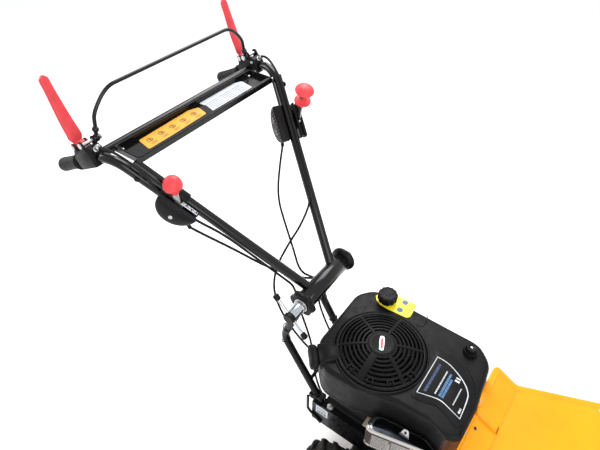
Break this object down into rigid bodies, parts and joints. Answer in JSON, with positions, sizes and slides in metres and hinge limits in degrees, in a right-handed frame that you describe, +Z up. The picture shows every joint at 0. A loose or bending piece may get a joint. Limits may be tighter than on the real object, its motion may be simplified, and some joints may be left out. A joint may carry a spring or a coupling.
{
  "type": "walk behind leaf blower",
  "caption": "Two-wheeled walk-behind blower: vertical-shaft engine on a frame, low sheet-metal blower housing in front, V-shaped handlebar with levers, front casters.",
  "frame": {"origin": "on the ground under the middle of the machine's bounding box", "axes": "+X forward, +Y to the operator's left, +Z up"},
  "size_m": [1.6258, 0.805, 1.2234],
  "materials": {
    "black_paint": "satin black powder coat",
    "yellow_paint": "semi-gloss orange-yellow paint",
    "yellow_plate": "semi-gloss yellow",
    "red_plastic": "satin coral red",
    "black_plastic": "fine textured moulding",
    "engine_plastic": "satin moulding with fine grain",
    "rubber": "matt",
    "tyre": "matt",
    "aluminium": "sand cast",
    "steel": "zinc plated",
    "chrome": "polished",
    "guard_steel": "bright pressed sheet",
    "cast": "as cast",
    "belt": "matt"
  },
  "bodies": {
    "chassis": {"side_plates": "black_paint", "mounting_plates": "black_paint", "yoke_legs": "black_paint", "frame_rods": "black_paint", "pivot_cups": "black_paint", "frame_bolts": "steel", "gearbox": "aluminium", "belts": "belt", "engine_block": "aluminium", "cylinder_head": "aluminium", "engine_shroud": "engine_plastic", "fan_grille": "engine_plastic", "fuel_tank": "black_plastic", "cap_tag": "yellow_plate", "muffler": "steel", "muffler_guard": "guard_steel", "air_intake": "black_plastic", "housing_shell": "yellow_paint", "bottom_plate": "black_paint", "scroll": "black_paint", "blower_pins": "steel", "inlet_guard": "black_plastic", "link_plates": "steel", "caster_brackets": "black_paint"},
    "wheel_right": {"tyre_right": "tyre", "rim_right": "black_paint"},
    "wheel_left": {"tyre_left": "tyre", "rim_left": "black_paint"},
    "gearbox_input": {"gearbox_shaft": "steel"},
    "crankshaft": {"crankshaft": "cast"},
    "blower": {"impeller": "steel", "impeller_shaft": "steel"},
    "idler": {"idler_arm": "black_paint"},
    "idler_wheel": {"idler_pulley": "cast"},
    "deflector": {"deflector": "yellow_paint"},
    "caster_right": {"caster_fork_right": "black_paint"},
    "caster_left": {"caster_fork_left": "black_paint"},
    "caster_roller_right": {"caster_wheel_right": "rubber"},
    "caster_roller_left": {"caster_wheel_left": "rubber"},
    "fuel_cap": {"fuel_cap": "black_plastic"},
    "starter_grip": {"starter_grip": "black_plastic"},
    "primer": {"primer_button": "black_plastic"},
    "handlebar": {"hub_tube": "black_paint", "handle_tubes": "black_paint", "crossbar": "black_paint", "console_plate": "black_paint", "rubber_grips": "rubber", "lever_housings": "black_plastic", "throttle_box": "black_plastic", "shift_box": "black_plastic", "control_cables": "rubber"},
    "clutch_left": {"clutch_lever_left": "red_plastic"},
    "clutch_right": {"clutch_lever_right": "red_plastic"},
    "bail": {"bail": "black_paint"},
    "throttle": {"throttle_lever": "steel", "throttle_knob": "red_plastic"},
    "shift": {"shift_lever": "steel", "shift_knob": "red_plastic"},
    "clamp": {"clamp_nut": "chrome"}
  },
  "joints": [
    {"name": "handle_height", "type": "hinge", "parent": "chassis", "child": "handlebar", "pos_m": [-0.24158, 0.0225, 0.701], "axis": [0, 1, 0], "range_deg": [-18, 25], "deforming": ["control_cables"]},
    {"name": "clamp_turn", "type": "hinge", "parent": "chassis", "child": "clamp", "pos_m": [-0.24158, -0.1195, 0.701], "axis": [0, -1, 0], "range_deg": [0, 360]},
    {"name": "wheel_right_spin", "type": "hinge", "parent": "chassis", "child": "wheel_right", "pos_m": [-0.02758, -0.1725, 0.132], "axis": [0, 1, 0], "continuous": true},
    {"name": "wheel_left_spin", "type": "hinge", "parent": "chassis", "child": "wheel_left", "pos_m": [-0.02758, 0.2175, 0.132], "axis": [0, 1, 0], "continuous": true},
    {"name": "caster_right_swivel", "type": "hinge", "parent": "chassis", "child": "caster_right", "pos_m": [0.78242, -0.2675, 0.2], "axis": [0, 0, 1], "continuous": true},
    {"name": "caster_left_swivel", "type": "hinge", "parent": "chassis", "child": "caster_left", "pos_m": [0.78242, 0.3125, 0.2], "axis": [0, 0, 1], "continuous": true},
    {"name": "caster_right_roll", "type": "hinge", "parent": "caster_right", "child": "caster_roller_right", "pos_m": [0.75042, -0.2675, 0.0625], "axis": [0, 1, 0], "continuous": true},
    {"name": "caster_left_roll", "type": "hinge", "parent": "caster_left", "child": "caster_roller_left", "pos_m": [0.75042, 0.3125, 0.0625], "axis": [0, 1, 0], "continuous": true},
    {"name": "crank_spin", "type": "hinge", "parent": "chassis", "child": "crankshaft", "pos_m": [-0.05558, 0.0225, 0.3], "axis": [0, 0, 1], "continuous": true},
    {"name": "blower_spin", "type": "hinge", "parent": "chassis", "child": "blower", "pos_m": [0.44442, 0.0225, 0.18], "axis": [0, 0, 1], "continuous": true},
    {"name": "gearbox_input_spin", "type": "hinge", "parent": "chassis", "child": "gearbox_input", "pos_m": [-0.14358, 0.0225, 0.23], "axis": [0, 0, 1], "continuous": true},
    {"name": "idler_swing", "type": "hinge", "parent": "chassis", "child": "idler", "pos_m": [0.34442, -0.1055, 0.286], "axis": [0, 0, -1], "range_deg": [0, 4]},
    {"name": "idler_wheel_spin", "type": "hinge", "parent": "idler", "child": "idler_wheel", "pos_m": [0.28242, -0.0755, 0.273], "axis": [0, 0, 1], "continuous": true},
    {"name": "deflector_tilt", "type": "hinge", "parent": "chassis", "child": "deflector", "pos_m": [0.61142, -0.3685, 0.272], "axis": [-1, 0, 0], "range_deg": [0, 60]},
    {"name": "fuel_cap_turn", "type": "hinge", "parent": "chassis", "child": "fuel_cap", "pos_m": [-0.12058, 0.1745, 0.57], "axis": [0, 0, 1], "range_deg": [0, 270]},
    {"name": "primer_press", "type": "slide", "parent": "chassis", "child": "primer", "axis": [0, 0, -1], "range_m": [0, 0.004], "stiffness_N_per_m": 900, "springref_m": -0.001},
    {"name": "starter_pull", "type": "slide", "parent": "chassis", "child": "starter_grip", "axis": [-0.7454, -0.6559, 0.1193], "range_m": [0, 0.4], "stiffness_N_per_m": 12, "springref_m": -1},
    {"name": "clutch_left_squeeze", "type": "hinge", "parent": "handlebar", "child": "clutch_left", "pos_m": [-0.70475, 0.28918, 1.07906], "axis": [0, -1, 0], "range_deg": [0, 90], "stiffness_Nm_per_rad": 0.5, "springref_deg": -28.65},
    {"name": "clutch_right_squeeze", "type": "hinge", "parent": "handlebar", "child": "clutch_right", "pos_m": [-0.70475, -0.24418, 1.07906], "axis": [0, -1, 0], "range_deg": [0, 90], "stiffness_Nm_per_rad": 0.5, "springref_deg": -28.65},
    {"name": "bail_press", "type": "hinge", "parent": "handlebar", "child": "bail", "pos_m": [-0.67466, 0.0225, 1.09488], "axis": [0, -1, 0], "range_deg": [0, 95], "stiffness_Nm_per_rad": 0.5, "springref_deg": -28.65},
    {"name": "throttle_swing", "type": "hinge", "parent": "handlebar", "child": "throttle", "pos_m": [-0.4762, -0.19634, 0.98783], "axis": [-0.5207, 0.8537, 0], "range_deg": [0, 96]},
    {"name": "shift_swing", "type": "hinge", "parent": "handlebar", "child": "shift", "pos_m": [-0.47637, 0.23559, 0.98502], "axis": [0.5207, 0.8537, 0], "range_deg": [0, 48]}
  ],
  "couplings": [
    {"joint": "blower_spin", "follows": "crank_spin", "ratio": 0.75},
    {"joint": "gearbox_input_spin", "follows": "crank_spin", "ratio": 0.75},
    {"joint": "idler_swing", "follows": "clutch_left_squeeze", "ratio": 0.044444}
  ]
}
